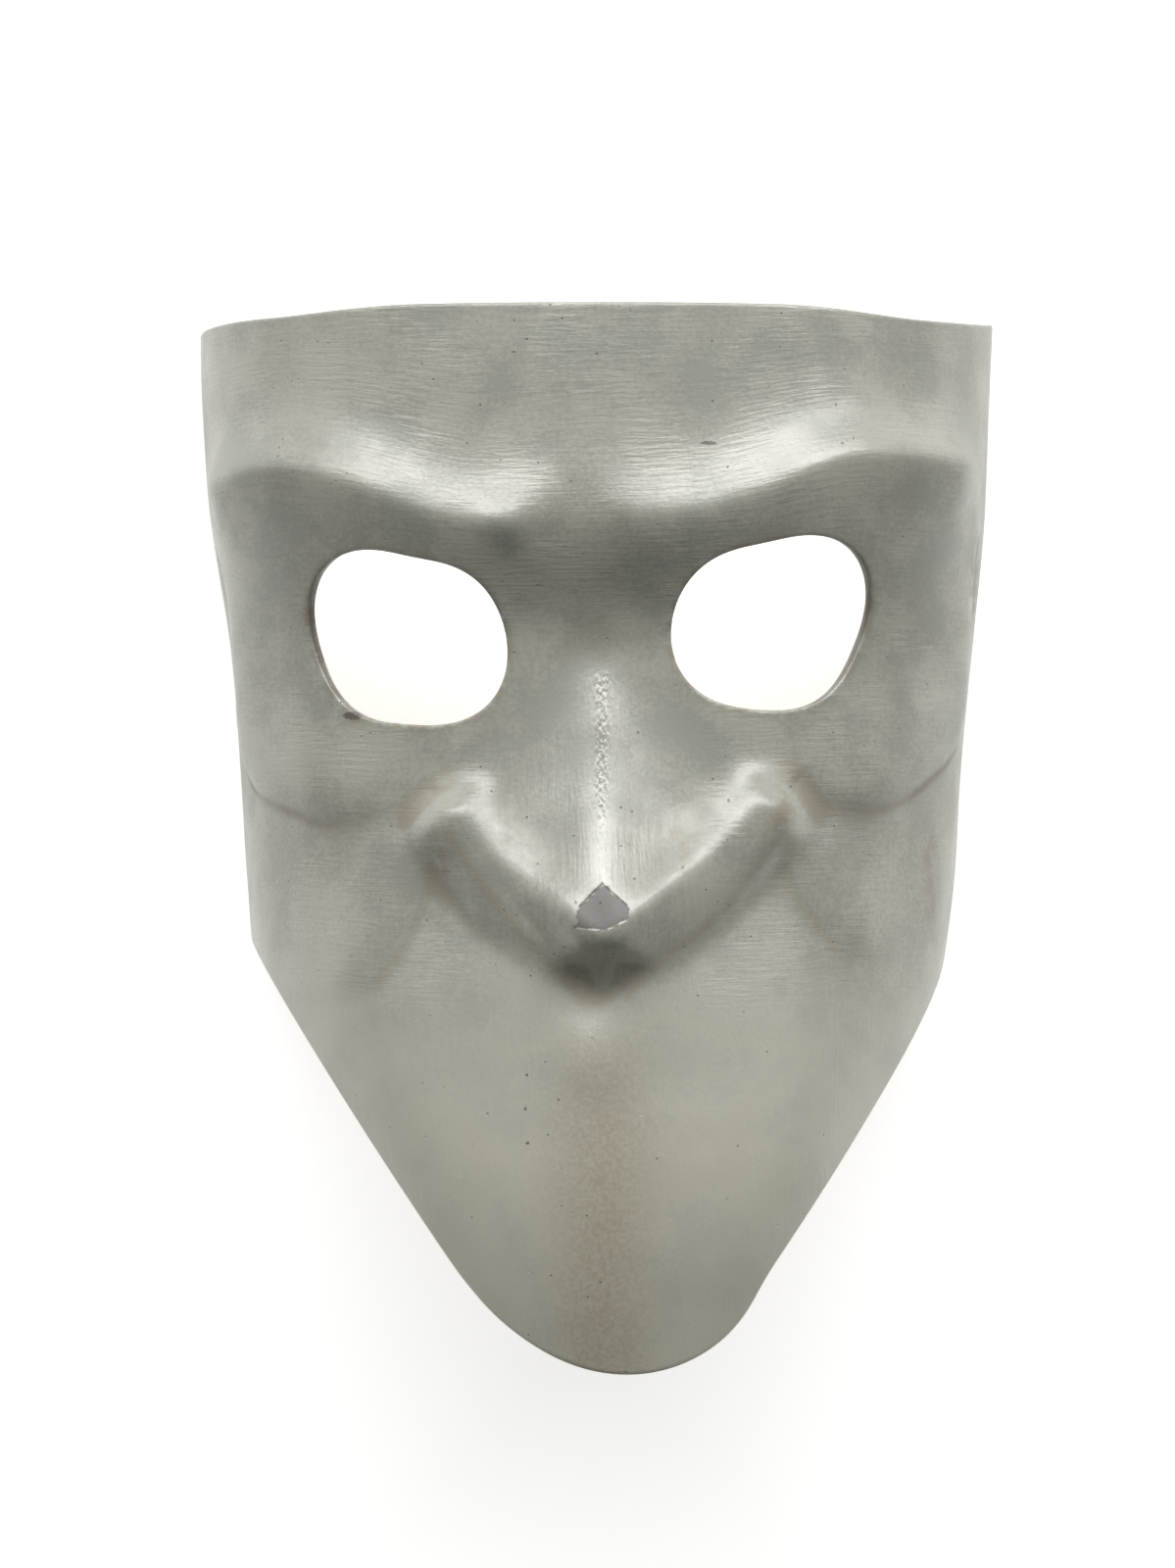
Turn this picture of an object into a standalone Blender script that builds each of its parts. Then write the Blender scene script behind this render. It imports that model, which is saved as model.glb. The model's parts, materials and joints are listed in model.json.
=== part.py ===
"""Bauta mask: a papier-mâché shell lying on its back, face up, in metres.

+Z is the way the mask faces, +Y points to the forehead and +X to the right of someone looking at it.
The origin is at the middle of the bounding box in X and Y, on the plane of the side rims.
"""

import bmesh
import bpy
import numpy as np

# Overall size
TOP_EDGE_Y = 0.1053
TOP_CORNER_DIPS = (0.0010, -0.0028)
TOP_CORNER_START = 0.55
TOP_SHOULDER_DIPS = (0.0014, 0.0019)
TOP_SHOULDER = (0.25, 0.55)
CHIN_Y = -0.1076
CHIN_X = 0.0062
FLANK_X = 0.0033
CHIN_TIP_RADIUS = 0.0345
TIP_LEAN_HEIGHT = 0.020
TRIM_HALF_ANGLE = np.radians(37.5)
JAW_LIFTS = (-0.0030, 0.0045)
JAW_LIFT_START = 0.63
WALL = 0.0025

# Height, half width to the left and to the right at the rim, depth at the middle line
STATIONS = (
    (0.1080, 0.0872, 0.0868, 0.0610),
    (0.0850, 0.0865, 0.0858, 0.0655),
    (0.0600, 0.0842, 0.0848, 0.0695),
    (0.0350, 0.0806, 0.0825, 0.0662),
    (0.0050, 0.0784, 0.0797, 0.0675),
    (-0.0150, 0.0777, 0.0780, 0.0710),
    (-0.0350, 0.0764, 0.0746, 0.0783),
    (-0.0500, 0.0735, 0.0713, 0.0844),
    (-0.0600, 0.0707, 0.0688, 0.0887),
    (-0.0700, 0.0673, 0.0660, 0.0925),
    (-0.0800, 0.0640, 0.0627, 0.0951),
    (-0.0900, 0.0605, 0.0592, 0.0966),
    (-0.1090, 0.0540, 0.0525, 0.0970),
)
SECTION_POWER = 2.25
RIM_OVERRUN = 0.006
SHIFT_START_Y = 0.020

# Carved lines: distance round the shell from the middle line, and height
BROWS = (
    ((-0.0860, 0.0690), (-0.0740, 0.0716), (-0.0637, 0.0718), (-0.0517, 0.0690), (-0.0365, 0.0630),
     (-0.0270, 0.0602), (-0.0170, 0.0597)),
    ((0.0800, 0.0732), (0.0680, 0.0744), (0.0554, 0.0744), (0.0468, 0.0726), (0.0326, 0.0664),
     (0.0218, 0.0622), (0.0090, 0.0610)),
)
BROW_HEIGHTS = (0.0050, 0.0045)
BROW_ABOVE = 0.0085
BROW_BELOW = 0.0135
BROW_ENDS = (0.0120, 0.0060)
BROW_FULLNESS = 1.5
FROWN = ((-0.0190, 0.0605), (-0.0158, 0.0650), (-0.0080, 0.0706))
FROWN_HEIGHT = 0.0026
FROWN_WIDTH = 0.0052
FROWN_ENDS = (0.0040, 0.0040)
SOCKETS = ((-0.0430, 0.0440), (0.0410, 0.0460))
SOCKET_REACH = (0.0360, 0.0220)
SOCKET_DEPTH = 0.0020
SOCKET_FULLNESS = 1.2

# Nose: height, rise over the shell, half width of its mass
NOSE_X = 0.0006
NOSE = (
    (0.0600, 0.0000, 0.0120),
    (0.0430, 0.0000, 0.0120),
    (0.0310, 0.0005, 0.0120),
    (0.0150, 0.0014, 0.0130),
    (0.0000, 0.0044, 0.0150),
    (-0.0110, 0.0075, 0.0165),
    (-0.0200, 0.0086, 0.0175),
    (-0.0400, 0.0085, 0.0175),
)
NOSE_BED = (0.0010, -0.0180)
NOSE_BED_REACH = (0.0300, 0.0360)
NOSE_BED_HEIGHT = 0.0060
NOSE_RIDGE_HEIGHT = 0.0018
NOSE_RIDGE_WIDTH = 0.0060
NOSE_RIDGE_ENDS = (-0.0120, 0.0360)
NOSE_RIDGE_FADE = (0.0080, 0.0200)
NOSE_RIDGE_FULLNESS = 2.0
NOSE_FOOT = (0.0010, -0.0356)
NOSE_FOOT_SLOPES = (1.05, 0.84)
NOSE_FOOT_ROUND = 0.0020
NOSE_FOOT_SOFT = 0.0150
NASION = (0.0005, 0.0375)
NASION_REACH = (0.0170, 0.0150)
NASION_DEPTH = 0.0028
WINGS = (
    ((-0.0255, 0.0010), (-0.0215, -0.0065), (-0.0145, -0.0145), (-0.0060, -0.0205)),
    ((0.0322, 0.0015), (0.0240, -0.0065), (0.0160, -0.0135), (0.0070, -0.0205)),
)
WING_HEIGHTS = (0.0056, 0.0034)
WING_ABOVE = 0.0068
WINGS_BELOW = (0.0062, 0.0080)
WING_ENDS = (0.0060, 0.0060)
WING_FULLNESS = 2.6
DIMPLE = (-0.0015, -0.0350)
DIMPLE_DEPTH = 0.0014
DIMPLE_WIDTH = 0.0070

# Cheek pads and the folds below them
PAD_FOLDS = (
    ((-0.1020, 0.0540), (-0.0985, 0.0400), (-0.0970, 0.0275), (-0.0960, 0.0180), (-0.0930, 0.0110),
     (-0.0860, 0.0050), (-0.0730, 0.0010), (-0.0580, -0.0015), (-0.0460, 0.0015), (-0.0370, 0.0060),
     (-0.0280, 0.0090)),
    ((0.1010, 0.0570), (0.0985, 0.0430), (0.0985, 0.0290), (0.0960, 0.0175), (0.0890, 0.0115),
     (0.0780, 0.0065), (0.0700, 0.0033), (0.0560, 0.0015), (0.0480, 0.0040), (0.0390, 0.0090),
     (0.0330, 0.0130)),
)
PAD_HEIGHT = 0.0025
PAD_REACH = 0.0300
CHEEK_FOLDS = (
    ((-0.0300, 0.0020), (-0.0330, -0.0060), (-0.0360, -0.0145), (-0.0410, -0.0240), (-0.0510, -0.0335),
     (-0.0680, -0.0410)),
    ((0.0360, 0.0000), (0.0385, -0.0090), (0.0445, -0.0190), (0.0535, -0.0270), (0.0670, -0.0330)),
)
CHEEK_HEIGHT = 0.0026
CHEEK_REACH = 0.0160
PAD_FOLD_WIDTH = 0.0048
CHEEK_FOLD_WIDTH = 0.0062
PAD_FOLD_FADE = (0.15, 0.35)
CHEEK_FOLD_FADE = (0.30, 0.30)
PAD_CREASE = 0.0008
CHEEK_CREASE = 0.0013
CREASE_ROUND = 0.0010

# Eye holes: centre, mean radius, and the size and direction of each wave round it
EYES = (
    ((-0.0394, 0.0366), 0.0194, ((2, 0.00234, -22.0), (3, 0.00054, 11.0), (4, 0.00068, -41.0))),
    ((0.0362, 0.0397), 0.0192, ((2, 0.00222, 22.0), (3, 0.00083, 48.0), (4, 0.00055, 37.0))),
)
EYE_SIDES = 36

# Ribbon holes through the side walls
RIBBON_HOLE_DIAMETER = 0.005
RIBBON_HOLE_SIDES = 12
RIBBON_HOLES = (("left", -1.0, 0.0545, 0.010), ("right", 1.0, 0.0575, 0.010))
RIBBON_CUT = (0.070, 0.100)
EYE_CUT = (0.020, 0.090)
BLOCK = 0.2

# Grid of the shell
COLUMNS_MIDDLE = 28
COLUMNS_SIDE = 12
MIDDLE_SPREAD = 0.42
ROWS = ((0.0, 9), (0.27, 24), (0.68, 9), (1.0, 0))
ROW_DIP = 0.0140
ROW_DIP_MIDDLE = (0.0, -0.0140)
ROW_DIP_REACH = (0.0200, 0.0340)
RIGHT_ANGLE = np.pi / 2
PATH_STEPS = 96
ARC_STEPS = 40
ANGLE_SAMPLES = 721
HALVINGS = 40

SHELL_COLOUR = (0.52, 0.51, 0.45, 1.0)
SHELL_ROUGHNESS = 0.42


def smooth_step(low, high, value):
    t = np.clip((value - low) / (high - low), 0.0, 1.0)
    return t * t * (3.0 - 2.0 * t)


def through(stations, y):
    """Smooth curves through the rows of a table, read at the heights y."""
    table = np.array(sorted(stations))
    heights = table[:, 0]
    y = np.clip(y, heights[0], heights[-1])
    slot = np.clip(np.searchsorted(heights, y) - 1, 0, len(heights) - 2)
    step = heights[slot + 1] - heights[slot]
    t = (y - heights[slot]) / step
    curves = []
    for column in table[:, 1:].T:
        slope = np.gradient(column, heights)
        low, high = column[slot], column[slot + 1]
        low_slope, high_slope = slope[slot] * step, slope[slot + 1] * step
        curves.append((2 * t**3 - 3 * t**2 + 1) * low + (t**3 - 2 * t**2 + t) * low_slope
                      + (3 * t**2 - 2 * t**3) * high + (t**3 - t**2) * high_slope)
    return curves


def plain_point(angle, y):
    """Point of the plain shell at an angle from the middle line, and its outward direction in X and Z."""
    left, right, depth = through(STATIONS, y)
    half_width = np.where(angle < 0.0, left, right)
    sine, cosine = np.sin(angle), np.cos(angle)
    power = 2.0 / SECTION_POWER
    x = half_width * np.sign(sine) * np.abs(sine) ** power
    z = depth * np.abs(cosine) ** power
    out_x = np.sign(sine) * np.abs(sine) ** (2.0 - power) / half_width
    out_z = np.abs(cosine) ** (2.0 - power) / depth
    length = np.hypot(out_x, out_z)
    shift = FLANK_X * smooth_step(SHIFT_START_Y, CHIN_Y, y)
    return x + shift, z, out_x / length, out_z / length


def spread_at(angle, y):
    """Distance from the middle line, measured round the section."""
    total = np.zeros_like(angle)
    last_x, last_z, _, _ = plain_point(angle * 0.0, y)
    for step in range(1, ARC_STEPS + 1):
        x, z, _, _ = plain_point(angle * step / ARC_STEPS, y)
        total += np.hypot(x - last_x, z - last_z)
        last_x, last_z = x, z
    return total * np.sign(angle)


def towards_rim(angle, start):
    """Zero up to a share of the right angle, then rising to one at either rim."""
    return np.clip((np.abs(angle) / RIGHT_ANGLE - start) / (1.0 - start), 0.0, 1.0) ** 2


def front_trim(x, y):
    """Height of the trimmed lower edge as seen from the front: two straight flanks and a round tip."""
    lean = 1.0 - smooth_step(CHIN_Y, CHIN_Y + TIP_LEAN_HEIGHT, y)
    away = np.abs(x - FLANK_X - (CHIN_X - FLANK_X) * lean)
    touch = CHIN_TIP_RADIUS * np.cos(TRIM_HALF_ANGLE)
    inside = np.minimum(away, touch)
    arc = CHIN_TIP_RADIUS - np.sqrt(CHIN_TIP_RADIUS**2 - inside**2)
    return CHIN_Y + arc + (away - inside) / np.tan(TRIM_HALF_ANGLE)


def trim_height(angle):
    """Height where the shell is trimmed below, for each angle, found by halving."""
    low = np.full_like(angle, CHIN_Y - WALL)
    high = np.full_like(angle, SHIFT_START_Y)
    for _ in range(HALVINGS):
        middle = 0.5 * (low + high)
        x, _, _, _ = plain_point(angle, middle)
        above = middle > front_trim(x, middle)
        high = np.where(above, middle, high)
        low = np.where(above, low, middle)
    lift = np.where(angle < 0.0, *JAW_LIFTS)
    return high + lift * towards_rim(angle, JAW_LIFT_START)


def top_height(angle):
    """Height of the upper edge, which dips a little to either side and again at both corners."""
    shoulder = np.where(angle < 0.0, *TOP_SHOULDER_DIPS) * smooth_step(*TOP_SHOULDER, np.abs(angle) / RIGHT_ANGLE)
    corner = np.where(angle < 0.0, *TOP_CORNER_DIPS) * towards_rim(angle, TOP_CORNER_START)
    return TOP_EDGE_Y - shoulder - corner


def smooth_path(points):
    """Many points along a smooth curve through a few."""
    points = np.array(points)
    ends = np.vstack([2 * points[0] - points[1], points, 2 * points[-1] - points[-2]])
    place = np.linspace(0.0, len(points) - 1.0, PATH_STEPS)
    slot = np.minimum(place.astype(int), len(points) - 2)
    t = (place - slot)[:, None]
    a, b, c, d = (ends[slot + shift] for shift in range(4))
    return 0.5 * (2 * b + (c - a) * t + (2 * a - 5 * b + 4 * c - d) * t**2 + (3 * b - a - 3 * c + d) * t**3)


def beside(points, across, y):
    """Distance above a carved line (below is negative), share of its length, and distance past its ends."""
    path = smooth_path(points)
    place = np.stack([across, y], axis=-1)
    nearest = np.argmin(((place[..., None, :] - path) ** 2).sum(axis=-1), axis=-1)
    tangent = np.gradient(path, axis=0)
    length = np.linalg.norm(tangent, axis=1, keepdims=True)
    tangent = tangent / length
    offset = place - path[nearest]
    along = (offset * tangent[nearest]).sum(axis=-1)
    side = tangent[nearest][..., 0] * offset[..., 1] - tangent[nearest][..., 1] * offset[..., 0]
    share = (nearest + along / length[nearest][..., 0]) / (PATH_STEPS - 1)
    total = length.sum()
    past = np.maximum(np.maximum(-share, share - 1.0), 0.0) * total
    if points[0][0] > points[-1][0]:
        side = -side
    return side, np.clip(share, 0.0, 1.0), past


def ridge(points, across, y, heights, width_above, width_below, ends, fullness=2.0):
    """A rounded ridge along a carved line, with its own softness on either side and at its ends."""
    side, share, past = beside(points, across, y)
    width = np.where(side > 0.0, width_above, width_below)
    height = heights[0] + (heights[1] - heights[0]) * share
    return height * np.exp(-np.hypot(side / width, past / np.where(share < 0.5, *ends)) ** fullness)


def fold(points, across, y, height, reach, width, fade, depth):
    """A crease with a full pad on its upper or outer side that rounds down into it."""
    side, share, past = beside(points, across, y)
    crease = -depth * np.exp(-np.hypot(side, CREASE_ROUND) / width)
    rise = 0.5 * (1.0 + np.tanh(side / width)) * np.exp(-(np.maximum(side, 0.0) / reach) ** 2)
    ends = smooth_step(0.0, fade[0], share) * (1.0 - smooth_step(1.0 - fade[1], 1.0, share))
    return (crease + height * rise) * ends * np.exp(-(past / width) ** 2)


def mound(across, y, middle, reach, height, fullness=1.0):
    """A round rise, or a hollow where the height is negative."""
    far = ((across - middle[0]) / reach[0]) ** 2 + ((y - middle[1]) / reach[1]) ** 2
    return height * np.exp(-far ** fullness)


def brows_and_sockets(spread, y):
    total = mound(spread, y, NASION, NASION_REACH, -NASION_DEPTH)
    for line in BROWS:
        total += ridge(line, spread, y, BROW_HEIGHTS, BROW_ABOVE, BROW_BELOW, BROW_ENDS, BROW_FULLNESS)
    total += ridge(FROWN, spread, y, (FROWN_HEIGHT, 0.0), FROWN_WIDTH, FROWN_WIDTH, FROWN_ENDS)
    for middle in SOCKETS:
        total += mound(spread, y, middle, SOCKET_REACH, -SOCKET_DEPTH, SOCKET_FULLNESS)
    return total


def pads_and_folds(spread, y):
    total = np.zeros_like(y)
    for line in PAD_FOLDS:
        total += fold(line, spread, y, PAD_HEIGHT, PAD_REACH, PAD_FOLD_WIDTH, PAD_FOLD_FADE, PAD_CREASE)
    for line in CHEEK_FOLDS:
        total += fold(line, spread, y, CHEEK_HEIGHT, CHEEK_REACH, CHEEK_FOLD_WIDTH, CHEEK_FOLD_FADE,
                      CHEEK_CREASE)
    return total


def nose_foot(x):
    """Height of the V-shaped foot of the nose."""
    offset = x - NOSE_FOOT[0]
    slope = np.where(offset < 0.0, *NOSE_FOOT_SLOPES)
    return NOSE_FOOT[1] + slope * (np.sqrt(offset**2 + NOSE_FOOT_ROUND**2) - NOSE_FOOT_ROUND)


def nose_and_wings(x, y):
    rise, half_width = through(NOSE, y)
    away = np.abs(x - NOSE_X)
    low, high = NOSE_RIDGE_ENDS
    crest = NOSE_RIDGE_HEIGHT * smooth_step(low - NOSE_RIDGE_FADE[0], low, y)
    crest *= 1.0 - smooth_step(high - NOSE_RIDGE_FADE[1], high, y)
    total = rise * np.exp(-(away / half_width) ** 2)
    total += crest * np.exp(-(away / NOSE_RIDGE_WIDTH) ** NOSE_RIDGE_FULLNESS)
    total *= smooth_step(0.0, NOSE_FOOT_SOFT, y - nose_foot(x))
    total += mound(x, y, NOSE_BED, NOSE_BED_REACH, NOSE_BED_HEIGHT)
    for line, below in zip(WINGS, WINGS_BELOW):
        total += ridge(line, x, y, WING_HEIGHTS, WING_ABOVE, below, WING_ENDS, WING_FULLNESS)
    return total + mound(x, y, DIMPLE, (DIMPLE_WIDTH, DIMPLE_WIDTH), -DIMPLE_DEPTH)


def shell_point(angle, share):
    """Point of the outer face at an angle from the middle line and a share of the way down.

    The rows dip towards the middle to run along the foot of the nose.
    """
    top, bottom = top_height(angle), trim_height(angle)
    y = top + (bottom - top) * share
    y = y + mound(spread_at(angle, y), y, ROW_DIP_MIDDLE, ROW_DIP_REACH, -ROW_DIP)
    x, z, out_x, out_z = plain_point(angle, y)
    spread = spread_at(angle, y)
    outward = brows_and_sockets(spread, y) + pads_and_folds(spread, y)
    return np.stack([x + out_x * outward, y, z + out_z * outward + nose_and_wings(x, y)], axis=-1)


def grid_angles():
    """Angles of the columns from the left rim to the right rim, closer together over the nose."""
    angles = np.linspace(-RIGHT_ANGLE, RIGHT_ANGLE, ANGLE_SAMPLES)
    spread = spread_at(angles, np.zeros_like(angles))
    left, right = spread[0], spread[-1]
    places = np.concatenate([
        np.linspace(left, left * MIDDLE_SPREAD, COLUMNS_SIDE, endpoint=False),
        np.linspace(left * MIDDLE_SPREAD, right * MIDDLE_SPREAD, COLUMNS_MIDDLE, endpoint=False),
        np.linspace(right * MIDDLE_SPREAD, right, COLUMNS_SIDE + 1),
    ])
    return np.interp(places, spread, angles)


def grid_shares():
    """Shares of the way down of the rows, closer together over the eyes and the nose."""
    parts = [np.linspace(here[0], following[0], here[1], endpoint=False)
             for here, following in zip(ROWS, ROWS[1:])]
    return np.concatenate(parts + [[1.0]])


def shell_mesh():
    """The outer face as a grid, with a strip below the rim plane at either side that is cut off later."""
    angles, shares = np.meshgrid(grid_angles(), grid_shares())
    points = shell_point(angles, shares)
    drop = np.array([0.0, 0.0, RIM_OVERRUN])
    points = np.concatenate([points[:, :1] - drop, points, points[:, -1:] - drop], axis=1)
    rows, columns = points.shape[:2]
    mesh = bmesh.new()
    verts = [[mesh.verts.new(point) for point in row] for row in points]
    for i in range(rows - 1):
        for j in range(columns - 1):
            mesh.faces.new((verts[i][j], verts[i + 1][j], verts[i + 1][j + 1], verts[i][j + 1]))
    data = bpy.data.meshes.new("mask_shell")
    mesh.to_mesh(data)
    mesh.free()
    data.shade_smooth()
    return data


def prism(name, outline, start, end):
    """A closed prism between two places, for cutting."""
    mesh = bmesh.new()
    near = [mesh.verts.new(start(*corner)) for corner in outline]
    far = [mesh.verts.new(end(*corner)) for corner in outline]
    mesh.faces.new(reversed(near))
    mesh.faces.new(far)
    for i in range(len(outline)):
        following = (i + 1) % len(outline)
        mesh.faces.new((near[i], near[following], far[following], far[i]))
    bmesh.ops.recalc_face_normals(mesh, faces=mesh.faces)
    data = bpy.data.meshes.new(name)
    mesh.to_mesh(data)
    mesh.free()
    cutter = bpy.data.objects.new(name, data)
    cutter.hide_render = True
    cutter.display_type = "WIRE"
    bpy.context.collection.objects.link(cutter)
    return cutter


def eye_outline(eye):
    """The hand-cut outline of an eye hole: a circle with a few waves round it."""
    middle, radius, waves = eye
    outline = []
    for turn in np.linspace(0.0, 2.0 * np.pi, EYE_SIDES, endpoint=False):
        reach = radius + sum(size * np.cos(count * (turn - np.radians(way))) for count, size, way in waves)
        outline.append((middle[0] + reach * np.cos(turn), middle[1] + reach * np.sin(turn)))
    return outline


def cutters():
    """The two eye holes, the two ribbon holes and the block below the rim plane."""
    low, high = EYE_CUT
    made = []
    for side, eye in zip(("left", "right"), EYES):
        outline = eye_outline(eye)
        made.append(prism(f"eye_cutter_{side}", outline, lambda x, y: (x, y, low), lambda x, y: (x, y, high)))
    turns = np.linspace(0.0, 2.0 * np.pi, RIBBON_HOLE_SIDES, endpoint=False)
    radius = RIBBON_HOLE_DIAMETER / 2.0
    for name, side, y, z in RIBBON_HOLES:
        ring = [(y + radius * np.cos(turn), z + radius * np.sin(turn)) for turn in turns]
        near, far = side * RIBBON_CUT[0], side * RIBBON_CUT[1]
        made.append(prism(f"ribbon_cutter_{name}", ring, lambda a, b: (near, a, b), lambda a, b: (far, a, b)))
    corners = [(-BLOCK, -BLOCK), (BLOCK, -BLOCK), (BLOCK, BLOCK), (-BLOCK, BLOCK)]
    made.append(prism("rim_plane_cutter", corners, lambda x, y: (x, y, -BLOCK), lambda x, y: (x, y, 0.0)))
    return made


def shell_material():
    material = bpy.data.materials.new("varnished_off_white")
    material.use_nodes = True
    shader = material.node_tree.nodes["Principled BSDF"]
    shader.inputs["Base Color"].default_value = SHELL_COLOUR
    shader.inputs["Roughness"].default_value = SHELL_ROUGHNESS
    shader.inputs["Metallic"].default_value = 0.0
    return material


def build_mask():
    shell = bpy.data.objects.new("mask_shell", shell_mesh())
    bpy.context.collection.objects.link(shell)
    shell.data.materials.append(shell_material())
    triangles = shell.modifiers.new("triangles", "TRIANGULATE")
    triangles.quad_method = "SHORTEST_DIAGONAL"
    wall = shell.modifiers.new("wall", "SOLIDIFY")
    wall.thickness = WALL
    wall.offset = -1.0
    for cutter in cutters():
        cut = shell.modifiers.new(cutter.name, "BOOLEAN")
        cut.operation = "DIFFERENCE"
        cut.solver = "EXACT"
        cut.object = cutter


for existing in list(bpy.data.objects):
    bpy.data.objects.remove(existing)
build_mask()
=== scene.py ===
"""Bauta mask: the looks of a papier-mâché shell with an off-white varnished face, lying on its back.

+Z is the way the mask faces, +Y points to the forehead and +X to the right of someone looking at it.
All sizes are in metres.
"""

import json

import bmesh
import bpy
import numpy as np
from mathutils import Matrix, Vector, noise

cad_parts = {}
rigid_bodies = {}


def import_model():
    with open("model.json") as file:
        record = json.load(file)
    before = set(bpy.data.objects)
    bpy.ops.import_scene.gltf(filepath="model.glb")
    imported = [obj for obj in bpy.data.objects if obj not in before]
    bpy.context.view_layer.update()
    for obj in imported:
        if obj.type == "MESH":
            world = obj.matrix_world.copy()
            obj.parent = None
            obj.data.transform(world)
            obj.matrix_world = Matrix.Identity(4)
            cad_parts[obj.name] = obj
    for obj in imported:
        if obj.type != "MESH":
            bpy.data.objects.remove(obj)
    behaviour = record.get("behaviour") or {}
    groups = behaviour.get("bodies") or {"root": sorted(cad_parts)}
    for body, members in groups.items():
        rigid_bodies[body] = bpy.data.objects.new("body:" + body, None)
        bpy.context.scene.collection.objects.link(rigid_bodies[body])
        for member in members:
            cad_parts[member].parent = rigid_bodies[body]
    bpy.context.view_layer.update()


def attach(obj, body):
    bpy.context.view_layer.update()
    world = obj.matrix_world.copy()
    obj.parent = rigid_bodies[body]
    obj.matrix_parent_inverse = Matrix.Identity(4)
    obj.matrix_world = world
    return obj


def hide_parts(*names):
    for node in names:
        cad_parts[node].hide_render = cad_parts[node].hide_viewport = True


bl_info = {
    "name": "Bauta mask",
    "version": (1, 0, 0),
    "blender": (4, 5, 0),
    "location": "3D View > Sidebar > Bauta",
    "description": "Models a varnished papier-mâché bauta mask and the studio it lies in",
    "category": "Object",
}

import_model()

# Overall size
TOP_EDGE_Y = 0.1053
TOP_CORNER_DIPS = (0.0010, -0.0028)
TOP_CORNER_START = 0.55
TOP_SHOULDER_DIPS = (0.0014, 0.0019)
TOP_SHOULDER = (0.25, 0.55)
CHIN_Y = -0.1076
CHIN_X = 0.0062
FLANK_X = 0.0033
CHIN_TIP_RADIUS = 0.0345
TIP_LEAN_HEIGHT = 0.020
TRIM_HALF_ANGLE = np.radians(37.5)
JAW_LIFTS = (-0.0030, 0.0045)
JAW_LIFT_START = 0.63

# Height, half width to the left and to the right at the rim, depth at the middle line
STATIONS = (
    (0.1080, 0.0872, 0.0868, 0.0610),
    (0.0850, 0.0865, 0.0858, 0.0655),
    (0.0600, 0.0842, 0.0848, 0.0695),
    (0.0350, 0.0806, 0.0825, 0.0662),
    (0.0050, 0.0784, 0.0797, 0.0675),
    (-0.0150, 0.0777, 0.0780, 0.0710),
    (-0.0350, 0.0764, 0.0746, 0.0783),
    (-0.0500, 0.0735, 0.0713, 0.0844),
    (-0.0600, 0.0707, 0.0688, 0.0887),
    (-0.0700, 0.0673, 0.0660, 0.0925),
    (-0.0800, 0.0640, 0.0627, 0.0951),
    (-0.0900, 0.0605, 0.0592, 0.0966),
    (-0.1090, 0.0540, 0.0525, 0.0970),
)
SECTION_POWER = 2.25
SHIFT_START_Y = 0.020

# Carved lines: distance round the shell from the middle line, and height
BROWS = (
    ((-0.0860, 0.0690), (-0.0740, 0.0716), (-0.0637, 0.0718), (-0.0517, 0.0690), (-0.0365, 0.0630),
     (-0.0270, 0.0602), (-0.0170, 0.0597)),
    ((0.0800, 0.0732), (0.0680, 0.0744), (0.0554, 0.0744), (0.0468, 0.0726), (0.0326, 0.0664),
     (0.0218, 0.0622), (0.0090, 0.0610)),
)
BROW_HEIGHTS = (0.0057, 0.0041)
BROW_ABOVE = 0.0085
BROW_BELOW = 0.0135
BROW_ENDS = (0.0120, 0.0120)
BROW_FULLNESS = (1.5, 1.5)
FROWN = ((-0.0190, 0.0605), (-0.0158, 0.0650), (-0.0080, 0.0706))
FROWN_HEIGHT = 0.0010
FROWN_WIDTH = 0.0052
FROWN_ENDS = (0.0070, 0.0040)
SOCKETS = ((-0.0430, 0.0440), (0.0410, 0.0460))
SOCKET_REACH = (0.0360, 0.0220)
SOCKET_DEPTH = 0.0011
SOCKET_FULLNESS = 1.2

# Nose: height, rise over the shell, half width of its mass
NOSE_X = 0.0006
NOSE = (
    (0.0600, 0.0000, 0.0120),
    (0.0430, 0.0000, 0.0120),
    (0.0310, 0.0005, 0.0120),
    (0.0150, 0.0014, 0.0130),
    (0.0000, 0.0044, 0.0150),
    (-0.0110, 0.0075, 0.0165),
    (-0.0200, 0.0086, 0.0175),
    (-0.0400, 0.0085, 0.0175),
)
NOSE_BED = (0.0010, -0.0180)
NOSE_BED_REACH = (0.0300, 0.0360)
NOSE_BED_HEIGHT = 0.0060
NOSE_RIDGE_HEIGHT = 0.0018
NOSE_RIDGE_WIDTH = 0.0060
NOSE_RIDGE_ENDS = (-0.0120, 0.0360)
NOSE_RIDGE_FADE = (0.0080, 0.0200)
NOSE_RIDGE_FULLNESS = 2.0
NOSE_FOOT = (0.0010, -0.0356)
NOSE_FOOT_SLOPES = (1.05, 0.84)
NOSE_FOOT_ROUND = 0.0020
NOSE_FOOT_SOFT = 0.0150
NASION = (0.0005, 0.0375)
NASION_REACH = (0.0170, 0.0150)
NASION_DEPTH = 0.0028
WINGS = (
    ((-0.0288, 0.0006), (-0.0236, -0.0064), (-0.0158, -0.0150), (-0.0060, -0.0215)),
    ((0.0340, 0.0022), (0.0252, -0.0062), (0.0165, -0.0135), (0.0070, -0.0205)),
)
WING_HEIGHTS = (0.0056, 0.0034)
WING_ABOVE = 0.0068
WINGS_BELOW = (0.0084, 0.0094)
WING_ENDS = (0.0060, 0.0060)
WING_FULLNESS = (2.1, 3.6)
DIMPLE = (-0.0015, -0.0350)
DIMPLE_DEPTH = 0.0014
DIMPLE_WIDTH = 0.0070

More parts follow.
